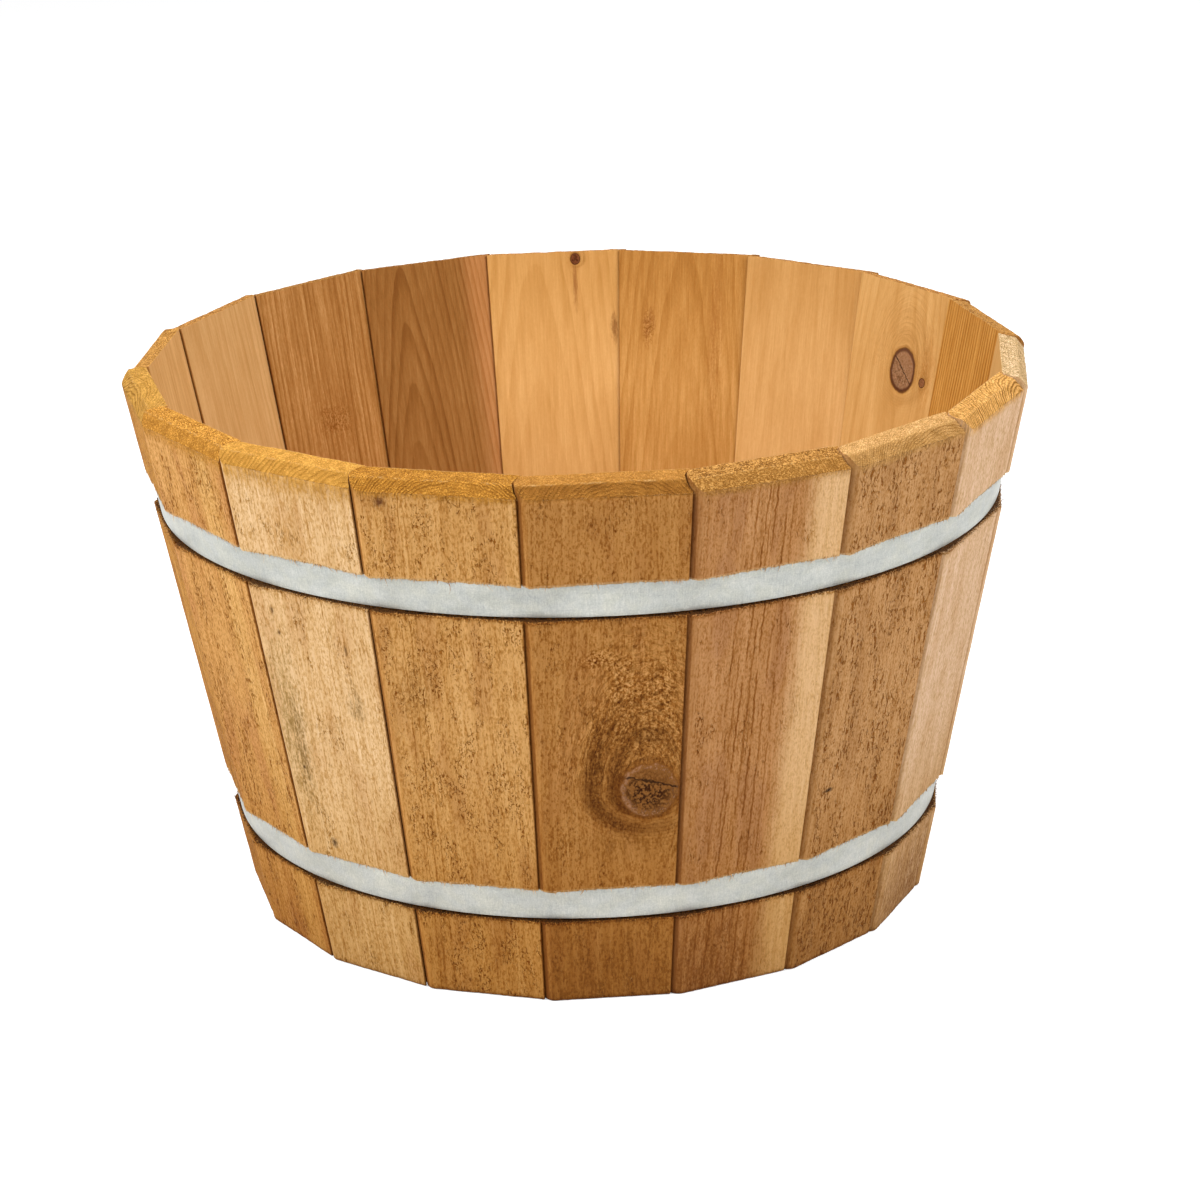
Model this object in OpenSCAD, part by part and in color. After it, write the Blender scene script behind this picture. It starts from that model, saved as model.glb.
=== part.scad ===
// Half-barrel planter: tapered cedar staves with bead-and-cove edges, drawn together
// by two riveted strap hoops let into grooves, round a board floor held in a croze.
// The origin is the middle of the foot. The front looks along -Y and +Z is up.

/* [Barrel] */
// Height from the ground to the inner edge of the rim
height = 306; // [200:1:500]
// Width across the corners of the outside faces, taken at full height
top_d = 508; // [420:1:700]
// Width across the corners of the outside faces at the foot
foot_d = 390; // [320:1:410]
// Number of staves
stave_count = 18; // [14:1:24]
// Turn of the first stave from straight ahead, in degrees
first_stave_turn = 4.5; // [-10:0.5:10]

/* [Staves] */
// Thickness of a stave
stave_t = 16; // [12:0.5:22]
// Radius of a bead beyond half of the stave's thickness
bead_fullness = 0.5; // [0.2:0.1:2]
// Gap between a bead and the cove round it
joint_gap = 0.15; // [0.05:0.05:0.3]
// How far a cove's lips stop short of the middle of the joint
lip_setback = 5.5; // [3:0.25:7]
// Width of the chamfer on the outer edge of the rim
rim_chamfer = 6; // [1:0.5:8]

/* [Hoops] */
// Width of the hoop strap
hoop_w = 19; // [12:0.5:30]
// Thickness of the hoop strap
hoop_t = 0.9; // [0.6:0.1:1.6]
// Height of the middle of the upper hoop
upper_hoop_z = 240; // [150:1:260]
// Height of the middle of the lower hoop
lower_hoop_z = 60; // [30:1:110]
// Depth of the strap's face behind the middle of the stave faces
hoop_inset = 0.8; // [0.2:0.1:2]
// Gap between the strap and the bottom of its groove
groove_back_gap = 0.1; // [0.05:0.05:0.3]
// Gap between the strap's upper edge and the groove's shoulder
groove_top_gap = 0.3; // [0.1:0.1:1]
// Gap between the strap's lower edge and the groove's shoulder
groove_foot_gap = 1.6; // [0.1:0.1:3]
// Length over which the ends of the strap overlap
lap_len = 48; // [36:1:80]
// Gap between the two layers of the overlap
lap_gap = 0.1; // [0.05:0.05:0.2]
// Length of the step that lifts one end over the other
lap_step = 4; // [2:0.5:8]
// Gap between the step and the end of the strap under it
lap_end_gap = 1; // [0.5:0.5:3]

/* [Rivets] */
// Diameter of a rivet's shank
rivet_d = 4; // [3:0.5:6]
// Diameter of a rivet's head
rivet_head_d = 9; // [7:0.5:12]
// Height of a rivet's domed head
rivet_head_h = 1.8; // [1:0.2:3]
// Gap between a shank and its hole
rivet_gap = 0.1; // [0.05:0.05:0.3]
// Distance between the two rivets of a hoop
rivet_pitch = 24; // [14:1:30]

/* [Floor] */
// Height of the underside of the floor
floor_z = 26; // [16:1:34]
// Thickness of the floor boards
floor_t = 16; // [10:0.5:22]
// Number of floor boards
floor_board_count = 5; // [3:2:7]
// Gap between neighbouring floor boards
floor_board_gap = 0.3; // [0.1:0.1:2]
// Depth of the croze, the groove that holds the floor
croze_depth = 5; // [3:0.5:6]
// Gap between the floor and the walls of the croze
croze_gap = 0.2; // [0.1:0.1:0.5]
// Number of drain holes along the middle board
drain_count = 3; // [1:1:5]
// Diameter of a drain hole
drain_d = 12; // [6:1:20]
// Distance between neighbouring drain holes
drain_pitch = 64; // [30:1:70]

/* [Hidden] */
$fn = 96;

// Angle of one stave, and half of it
stave_turn = 360 / stave_count;
half_turn = stave_turn / 2;

// Distance from the middle of the barrel to the middle of the outside faces
top_face_r = top_d / 2 * cos(half_turn);
foot_face_r = foot_d / 2 * cos(half_turn);
// Lean of the staves, and their thickness measured level
lean = atan((top_face_r - foot_face_r) / height);
level_t = stave_t / cos(lean);
function face_r(z) = foot_face_r + z * tan(lean);

// A stave in its own frame: X across, -Y outward, Z along its length from the ground
bead_r = stave_t / 2 + bead_fullness;
mid_foot_r = foot_face_r - level_t / 2;
stave_len = (height - stave_t / 2 * sin(lean)) / cos(lean);
function half_width(s) = (mid_foot_r + s * sin(lean)) * tan(half_turn);
// Sideways slope of the joint lines, and spare length that later cuts remove
flare = atan(sin(lean) * tan(half_turn));
spare = 20;
cut_w = 2 * half_width(stave_len) + 4 * spare;

// Depths from the stave faces, outward positive
strap_face = -hoop_inset;
strap_back = strap_face - hoop_t;
lap_back = strap_face + lap_gap;
lap_face = lap_back + hoop_t;
groove_back = strap_back - groove_back_gap;
// Turn of the middle of the overlap: the middle of the stave at the back
lap_turn = first_stave_turn + 90;
function turn_of(length, z) = length / face_r(z) * 180 / PI;

croze_r = face_r(floor_z) - level_t + croze_depth;
floor_r = croze_r - croze_gap;
floor_board_w = (2 * floor_r - (floor_board_count - 1) * floor_board_gap) / floor_board_count;
function board_y(j) = -floor_r + j * (floor_board_w + floor_board_gap);
middle_board = floor(floor_board_count / 2);

stave_tones = [
    "#a8682f", "#b9804f", "#ab7a45", "#d3a27a", "#d9ac74", "#c98d45", "#cf9350", "#deb07c",
    "#cf8c4b", "#e0ad62", "#9a5f35", "#b57f4a", "#d8a578", "#cfa06c", "#cd8f4c", "#c18a4e",
    "#dcb57c", "#b9803f"
];
board_tone = "#c08a50";
steel_tone = "#c6cccb";
rivet_tone = "#aeb4b4";

function two_digits(n) = n < 10 ? str("0", n) : str(n);
stave_names = [for (i = [1 : stave_count]) str("stave_", two_digits(i))];
board_names = [for (j = [1 : floor_board_count]) str("floor_board_", j)];
hoop_names = ["upper_hoop", "lower_hoop", "upper_hoop_rivets", "lower_hoop_rivets"];

// Round rod along one of the two joint lines of a stave, side -1 left or 1 right
module joint_rod(side, r) {
    translate([side * half_width(0), 0, 0])
        rotate([0, side * flare, 0])
            translate([0, 0, -spare]) cylinder(r = r, h = stave_len + 2 * spare);
}

// The flat of a stave, from the bead's middle to the lips of the cove
module stave_board() {
    rotate([90, 0, 0])
        linear_extrude(stave_t, center = true)
            polygon([
                [-half_width(-spare), -spare],
                [half_width(-spare) - lip_setback, -spare],
                [half_width(stave_len) - lip_setback, stave_len],
                [-half_width(stave_len), stave_len]
            ]);
}

// A stave before it is grooved: bead on the left, cove on the right, rim cut square
module stave_blank() {
    difference() {
        union() {
            stave_board();
            intersection() {
                joint_rod(-1, bead_r);
                translate([-cut_w / 2, -stave_t / 2, -spare])
                    cube([cut_w, stave_t, stave_len + 2 * spare]);
            }
        }
        joint_rod(1, bead_r + joint_gap);
        translate([-cut_w / 2, -stave_t, stave_len]) cube([cut_w, 2 * stave_t, 2 * spare]);
        translate([0, -stave_t / 2, stave_len])
            rotate([45, 0, 0])
                cube([cut_w, rim_chamfer * sqrt(2), rim_chamfer * sqrt(2)], center = true);
    }
}

// Frame on the outside faces at height z: X outward from the face, Z up along it
module on_face(z) {
    translate([face_r(z), 0, z]) rotate([0, lean, 0]) children();
}

// Corner of a ring's section: depth v from the face and distance u up it
function face_point(z, u, v) =
    [face_r(z) + u * sin(lean) + v * cos(lean), z + u * cos(lean) - v * sin(lean)];

// Ring, or part of one, that follows the lean of the faces
module face_ring(z, u0, u1, v0, v1, turn = 360) {
    rotate_extrude(angle = turn)
        polygon([face_point(z, u0, v0), face_point(z, u0, v1),
            face_point(z, u1, v1), face_point(z, u1, v0)]);
}

module hoop_groove(z) {
    face_ring(z, -hoop_w / 2 - groove_foot_gap, hoop_w / 2 + groove_top_gap,
        groove_back, spare);
}

module stave(i) {
    color(stave_tones[i % len(stave_tones)])
        rotate([0, 0, first_stave_turn + i * stave_turn])
            difference() {
                translate([0, -mid_foot_r, 0]) rotate([lean, 0, 0]) stave_blank();
                translate([-cut_w / 2, -top_d, -3 * spare]) cube([cut_w, top_d, 3 * spare]);
                hoop_groove(upper_hoop_z);
                hoop_groove(lower_hoop_z);
                translate([0, 0, floor_z - croze_gap])
                    cylinder(r = croze_r, h = floor_t + 2 * croze_gap);
            }
}

// The two rivet places of the hoop at height z
module at_rivets(z) {
    for (side = [-1, 1])
        rotate([0, 0, lap_turn + turn_of(side * rivet_pitch / 2, z)])
            on_face(z) rotate([0, 90, 0]) children();
}

// Strap hoop whose one end steps up and laps over the other
module hoop(z) {
    lap = turn_of(lap_len, z);
    step = turn_of(lap_step, z);
    end_gap = turn_of(lap_end_gap, z);
    low = -hoop_w / 2;
    high = hoop_w / 2;
    color(steel_tone)
        difference() {
            rotate([0, 0, lap_turn - lap / 2])
                union() {
                    rotate([0, 0, end_gap])
                        face_ring(z, low, high, strap_back, strap_face, 360 - end_gap);
                    rotate([0, 0, -step])
                        face_ring(z, low, high, strap_back, lap_face, step);
                    rotate([0, 0, -step])
                        face_ring(z, low, high, lap_back, lap_face, step + lap);
                }
            at_rivets(z)
                translate([0, 0, -spare]) cylinder(d = rivet_d + 2 * rivet_gap, h = 2 * spare);
        }
}

// Two rivets through the overlap, their tails flush with the back of the strap
module hoop_rivets(z) {
    dome_r = (pow(rivet_head_h, 2) + pow(rivet_head_d / 2, 2)) / (2 * rivet_head_h);
    color(rivet_tone)
        at_rivets(z)
            union() {
                translate([0, 0, strap_back])
                    cylinder(d = rivet_d, h = lap_face - strap_back + rivet_head_h / 2);
                translate([0, 0, lap_face])
                    intersection() {
                        translate([0, 0, rivet_head_h - dome_r]) sphere(r = dome_r);
                        cylinder(d = rivet_head_d, h = rivet_head_h);
                    }
            }
}

module floor_board(j) {
    color(board_tone)
        difference() {
            intersection() {
                translate([0, 0, floor_z]) cylinder(r = floor_r, h = floor_t);
                translate([-floor_r, board_y(j), floor_z])
                    cube([2 * floor_r, floor_board_w, floor_t]);
            }
            if (j == middle_board)
                for (k = [0 : drain_count - 1])
                    translate([(k - (drain_count - 1) / 2) * drain_pitch,
                        board_y(j) + floor_board_w / 2, floor_z - spare])
                        cylinder(d = drain_d, h = floor_t + 2 * spare);
        }
}

for (i = [0 : stave_count - 1])
    stave(i);
hoop(upper_hoop_z);  // upper_hoop
hoop(lower_hoop_z);  // lower_hoop
hoop_rivets(upper_hoop_z);  // upper_hoop_rivets
hoop_rivets(lower_hoop_z);  // lower_hoop_rivets
for (j = [0 : floor_board_count - 1])
    floor_board(j);
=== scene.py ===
"""Half-barrel planter: eighteen tapered cedar staves drawn together by two strap hoops.

Lengths are in millimetres, and MM turns them into metres where a mesh, lamp or camera is made.
A stave's own frame has x across it, y through it (outward is -y) and s along it from the ground.
"""

import collections
import functools
import itertools
from math import asin, atan, cos, pi, radians, sin, sqrt, tan

import bmesh
import bpy
import numpy as np
from mathutils import Matrix, Vector


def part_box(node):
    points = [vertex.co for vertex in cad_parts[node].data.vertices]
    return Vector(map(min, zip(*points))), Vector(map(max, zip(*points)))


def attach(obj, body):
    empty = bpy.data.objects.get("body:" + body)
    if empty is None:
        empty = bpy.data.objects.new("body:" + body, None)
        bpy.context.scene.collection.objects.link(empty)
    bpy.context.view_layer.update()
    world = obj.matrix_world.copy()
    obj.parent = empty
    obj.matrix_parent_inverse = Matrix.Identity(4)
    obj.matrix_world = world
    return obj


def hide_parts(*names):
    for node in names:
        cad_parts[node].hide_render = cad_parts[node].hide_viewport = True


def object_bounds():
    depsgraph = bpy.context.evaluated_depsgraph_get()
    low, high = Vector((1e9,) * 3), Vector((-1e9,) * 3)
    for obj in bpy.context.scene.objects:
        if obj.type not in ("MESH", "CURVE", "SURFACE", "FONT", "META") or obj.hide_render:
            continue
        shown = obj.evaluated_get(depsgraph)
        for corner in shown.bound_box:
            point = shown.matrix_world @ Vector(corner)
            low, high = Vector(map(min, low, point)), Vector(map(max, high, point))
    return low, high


MM = 0.001
ROOT = "root"
LOW_16_BITS, LOW_32_BITS = 0xFFFF, 0xFFFFFFFF
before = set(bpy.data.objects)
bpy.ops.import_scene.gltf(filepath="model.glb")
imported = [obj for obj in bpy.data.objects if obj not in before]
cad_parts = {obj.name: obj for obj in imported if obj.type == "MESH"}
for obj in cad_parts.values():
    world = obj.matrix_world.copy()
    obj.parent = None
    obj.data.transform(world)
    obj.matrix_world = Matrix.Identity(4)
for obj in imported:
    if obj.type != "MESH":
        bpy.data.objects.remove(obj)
cad_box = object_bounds()

# ------ the barrel's sizes
HEIGHT = cad_box[1].z / MM
TOP_D, FOOT_D = 508, 390
STAVES = 18
FIRST_TURN = 4.5
THICK = 16
HALF_TURN = pi / STAVES
TOP_FACE_R = TOP_D / 2 * cos(HALF_TURN)
FOOT_FACE_R = FOOT_D / 2 * cos(HALF_TURN)
LEAN = atan((TOP_FACE_R - FOOT_FACE_R) / HEIGHT)
SIN, COS = sin(LEAN), cos(LEAN)
MID_FOOT_R = FOOT_FACE_R - THICK / COS / 2
STAVE_LEN = (HEIGHT - THICK / 2 * SIN) / COS

BEAD_R = 8.3
COVE_R = 8.8
LIP_SETBACK = 5.5
LIP_ROUND = 0.5
RIM_CHAMFER = 6

HOOP_W, HOOP_T = 19, 0.9
UPPER_HOOP_Z, LOWER_HOOP_Z = 240, 60
HOOP_HEIGHTS = (LOWER_HOOP_Z, UPPER_HOOP_Z)
HOOP_EDGE_ROUND = 0.28
STRAP_FACE, STRAP_GAP = -0.8, 0.1
STRAP_BACK = STRAP_FACE - HOOP_T
GROOVE_BACK = STRAP_BACK - STRAP_GAP
GROOVE_UP, GROOVE_DOWN = 0.3, 1.6
LAP_LEN, LAP_STEP, LAP_END_GAP = 48, 4, 1
LAP_RISE = HOOP_T + STRAP_GAP
LAP_TURN = radians(FIRST_TURN + 90)
RIVET_PITCH, RIVET_HEAD_D, RIVET_HEAD_H = 24, 9, 1.8
FLOOR_BOARDS = 5
BOARD_EASE = 0.9

# How finely the meshes are cut
FACE_COLUMNS = 57
COVE_STEPS, BEAD_STEPS = 11, 15
LIP_ANGLES = (30, 60, 90)
ROW_STEP = 2.4
CAP_STEPS = (0.03, 0.1, 0.2, 0.32, 0.45, 0.56, 0.66, 0.72, 0.78, 0.86, 1.0)
CAP_MIDDLE_SETBACK = 14
HOOP_CUTS, JOG_CUTS, LAP_CUTS = 620, 10, 60
RIVET_SPOKES = 28
STRAND_CUTS, STRAND_ANGLES = 4, (0, 2.1, 4.2)

# Rows below FOOT_TOP follow the level foot, those over RIM_BASE the sawn rim, and those from
# BOW_FROM to BOW_TO a level line round the barrel
FOOT_TOP, RIM_BASE = 25, 270
BOW_FROM, BOW_TO = 20, 290

# Where a row of a stave's points lies from the nearest shoulder of a groove
PLAIN, BELOW, LOW_LIP, HIGH_LIP, ABOVE, FAR_BELOW = range(6)

# Loose fibres on each stave: at each hoop, and on its face and rim
SLIVERS, FLUFF = 75, 280
FACE_HAIRS, RIM_HAIRS = 70, 60
CLEAR_OF_HOOPS = 13
# Splinters that stand out from the faces: index of the stave, x, s and length
SPLINTERS = ((4, -4, 284, 4), (4, -6, 247, 3.5), (4, -2, 224, 4.5), (14, 2, 236, 3),
             (14, -4, 228, 4), (3, 30, 22, 4), (4, -3, 231, 3), (4, -3, 237, 3), (4, -3, 243, 3))


def half_width(s):
    return (MID_FOOT_R + s * SIN) * tan(HALF_TURN)


def face_r(z):
    return FOOT_FACE_R + z * tan(LEAN)


def groove_middle(z):
    """Length along a stave of the middle of the hoop at height z."""
    return (face_r(z) - MID_FOOT_R) * SIN + z * COS


def groove_edges(z):
    """Lengths along a stave of the lower and the upper shoulder of the groove at height z."""
    middle = groove_middle(z)
    return middle - HOOP_W / 2 - GROOVE_DOWN, middle + HOOP_W / 2 + GROOVE_UP


def stave_turn(index):
    """How far a stave is turned from straight ahead."""
    return radians(FIRST_TURN) + index * 2 * HALF_TURN


def smooth(t):
    t = np.clip(t, 0, 1)
    return t * t * (3 - 2 * t)


def points_of(x, y, s):
    """Stacks three arrays into points, spreading them to one shape."""
    return np.stack(np.broadcast_arrays(x, y, s), axis=-1).astype(float)


def lattice(x, y, s, seed):
    """Smooth noise from 0 to 1 at the points that three arrays give, one cell to the unit."""
    points = points_of(x, y, s)
    cell = np.floor(points).astype(np.int64)
    part = points - cell
    part = part * part * (3 - 2 * part)
    total = np.zeros(points.shape[:-1])
    for corner in itertools.product((0, 1), repeat=3):
        c = cell + np.array(corner)
        mixed = (c[..., 0] * 374761393 + c[..., 1] * 668265263 + c[..., 2] * 1103515245
                 + seed * 974634777) & LOW_32_BITS
        mixed = ((mixed ^ (mixed >> 13)) * 1274126177) & LOW_32_BITS
        weight = np.prod(np.where(corner, part, 1 - part), axis=-1)
        total += weight * ((mixed ^ (mixed >> 16)) & LOW_16_BITS) / LOW_16_BITS
    return total


def bands(rings, around, base=0):
    """Faces that join each ring of points to the next. Base is the first point's number."""
    return [(base + i * around + j, base + i * around + (j + 1) % around,
             base + (i + 1) * around + (j + 1) % around, base + (i + 1) * around + j)
            for i in range(rings - 1) for j in range(around)]


# ------ shading by expressions
class Value:
    """One number of a material at each point, so that a pattern is written as arithmetic."""

    def __init__(self, shader, socket):
        self.shader, self.socket = shader, socket

    def op(self, kind, *others):
        return self.shader.math(kind, self, *others)

    __add__ = __radd__ = functools.partialmethod(op, "ADD")
    __sub__ = functools.partialmethod(op, "SUBTRACT")
    __mul__ = functools.partialmethod(op, "MULTIPLY")
    at_least = functools.partialmethod(op, "MAXIMUM")
    at_most = functools.partialmethod(op, "MINIMUM")
    root = functools.partialmethod(op, "SQRT")
    size = functools.partialmethod(op, "ABSOLUTE")
    whole = functools.partialmethod(op, "FLOOR")

    def __rsub__(self, other):
        return self.shader.math("SUBTRACT", other, self)

    def __truediv__(self, other):
        return self.op("DIVIDE", other) if isinstance(other, Value) else self * (1 / other)

    def squared(self):
        return self * self

    def rise(self, low, high):
        """0 at low, 1 at high, and smooth between them. High may be under low."""
        node = self.shader.add("ShaderNodeMapRange", self, low, high,
                               interpolation_type="SMOOTHSTEP")
        return Value(self.shader, node.outputs["Result"])


def linear(code):
    """A colour written as #rrggbb, in the linear values that a shader takes."""
    parts = [int(code[i:i + 2], 16) / 255 for i in (1, 3, 5)]
    return (*(p / 12.92 if p < 0.04045 else ((p + 0.055) / 1.055) ** 2.4 for p in parts), 1)


class Shader:
    """A material or world whose nodes are made by the expressions that use them."""

    def __init__(self, holder):
        self.holder = holder
        holder.use_nodes = True
        self.tree = holder.node_tree

    def add(self, kind, *sources, **settings):
        """A node fed by the sources in turn. A setting names a socket or a property."""
        node = self.tree.nodes.new(kind)
        for key, value in settings.items():
            if key in node.inputs:
                self.feed(node.inputs[key], value)
            else:
                setattr(node, key, value)
        for socket, source in zip(node.inputs, sources):
            self.feed(socket, source)
        return node

    def feed(self, socket, value):
        """Gives a socket what drives it, or its constant. A colour may be written #rrggbb."""
        if isinstance(value, str):
            value = linear(value)[:len(socket.default_value)]
        if isinstance(value, bpy.types.Node):
            value = value.outputs[0]
        if isinstance(value, Value):
            value = value.socket
        if isinstance(value, bpy.types.NodeSocket):
            self.tree.links.new(value, socket)
        else:
            socket.default_value = value

    def math(self, kind, *values):
        return Value(self, self.add("ShaderNodeMath", *values, operation=kind).outputs[0])

    def attribute(self, name):
        """The three numbers of a vector attribute."""
        read = self.add("ShaderNodeAttribute", attribute_name=name)
        split = self.add("ShaderNodeSeparateXYZ", read.outputs["Vector"])
        return [Value(self, out) for out in split.outputs]

    def noise(self, at, cell, detail=2.0, seed=0, rough=0.5):
        """Smooth noise about 0.5 at (x, y, s), with cells of the given size on each axis."""
        join = self.add("ShaderNodeCombineXYZ",
                        *(at[k] / cell[k] + (seed * (7.31 + 3.17 * k)) % 91 for k in range(3)))
        node = self.add("ShaderNodeTexNoise", join, Scale=1, Detail=detail, Roughness=rough)
        return Value(self, node.outputs["Fac"])

    def chance(self, value):
        """A random number from 0 to 1 for each whole number."""
        node = self.add("ShaderNodeTexWhiteNoise", noise_dimensions="1D", W=value)
        return Value(self, node.outputs["Value"])

    def blend(self, share, first, second):
        """Goes from the first colour to the second as share goes from 0 to 1."""
        node = self.add("ShaderNodeMix", data_type="RGBA", clamp_factor=True, Factor=share,
                        A=first, B=second)
        return node.outputs["Result"]

    def darken(self, colour, amount, depth=(0.38, 0.55, 0.92)):
        """Wood deepened by an amount: blue falls most, so the tone also warms."""
        share = self.add("ShaderNodeCombineXYZ", *((amount * -d).op("EXPONENT") for d in depth))
        return self.add("ShaderNodeVectorMath", colour, share, operation="MULTIPLY").outputs[0]

    def finish(self, colour, roughness, height=None, specular=0.5, metallic=0):
        """The finished material. Height is its fine relief, in millimetres."""
        surface = self.tree.nodes["Principled BSDF"].inputs
        self.feed(surface["Base Color"], colour)
        self.feed(surface["Roughness"], roughness)
        surface["Specular IOR Level"].default_value = specular
        surface["Metallic"].default_value = metallic
        if height:
            bump = self.add("ShaderNodeBump", Strength=1, Distance=MM, Height=height)
            self.feed(surface["Normal"], bump)
        return self.holder


# ------ cedar
KNOT_PIT, KNOT_LIP, KNOT_BARK, CRACK = "#3f1c02", "#bd8862", "#451d0c", "#2b1100"
# A painted highlight for the rim's edges, and the pale torn wood over the grooves
ARRIS_HIGHLIGHT, TORN_SHOULDER = "#f3c47e", "#f0cf9c"
# Painted shade in the hoop grooves: dark, mottled with the brown of their fibres
GROOVE_SHADE_DARK, GROOVE_FIBRE_BROWN = "#26140a", "#8a5a2c"

# How far red, green and blue fall where the wood is deepened, or darkened by painted shade
TORN_DEPTH = (0.48, 0.77, 1.5)
JOINT_SHADE_DEPTH = (0.65, 0.85, 1.2)
RUNG_DEPTH = (0.5, 0.62, 0.9)
SWIRL_DEPTH = (0.62, 0.78, 1.1)
END_DEPTH = (0.42, 0.52, 0.78)
SHADE_DEPTH = (0.6, 0.8, 1.2)
LOW_DEPTH = (0.28, 0.42, 0.78)
FOOT_DEPTH = (0.6, 0.75, 1.0)

# Heights along a stave between which its outside darkens to the foot, partly as painted shade near
# the floor, and its inside darkens to the rim as painted shade
LOW_FROM, LOW_TO = 150, 4
INNER_SHADE_FROM, INNER_SHADE_TO = 225, 305
MID_STAVE = 150
WOOD_SPECULAR = 0.1


# A knot has half sizes, and the grain is drawn out over it by stretch. Its crack is given by
# how far it lies above the knot's middle, and by its slope. Swirl is how strong the rings
# round it are, and pits how strong the holes in it.
Knot = collections.namedtuple("Knot", "x s across along tone crack stretch swirl pits",
                              defaults=(None, 1.6, 0.4, 0.3))


class Wood:
    """How one board looks. Places are in its own frame, in millimetres.

    Tone is the outside face's colour, inside the inner face's and rim the sawn ends'.
    """

    hue = "#c98a5c"  # a second tone that the outside shifts toward in places
    late, ring = 0.3, 3.0  # depth and width of the year rings on the faces
    end_late, end_ring = 0.6, 1.3  # and on the ends
    pith, rise = (0, -40), 0.03  # the tree's middle at the foot, and how fast it leans away
    wobble, streaks = 2.0, 0.5  # unevenness of the rings, and long streaks
    specks, speck_dark = 0.4, 0.6  # share of the outside with torn marks, and their depth
    mark, hooks, curl = 1.0, 0.4, 4.6  # size of the marks, and hooked ones between them
    nap, fade = 1.0, 0.0  # sawn fuzz, and how much painted shade darkens the inside to the rim
    bead, bleed = 0.15, 3.0  # darkness of the bead strip and of the painted shade in the joint, and the ends' colour on the face
    bevel, pores, coarse = 0.25, 3.0, 1.0  # depth of the chamfer, and the pores of the ends
    # Pale sapwood past a line, by x, slope, side and tone. A band, by x, half width and tone.
    sap, band = None, None
    # A stain is x, s, half sizes, tone and share, torn wood x, s, half sizes and depth, and a
    # dark line x, slope, half width and depth.
    knots, stains, torn, lines = (), (), (), ()
    jointed = True  # with a bead, a cove and sawn faces

    def __init__(self, tone, inside, rim, **looks):
        vars(self).update(looks, tone=tone, inside=inside, rim=rim)


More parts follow.
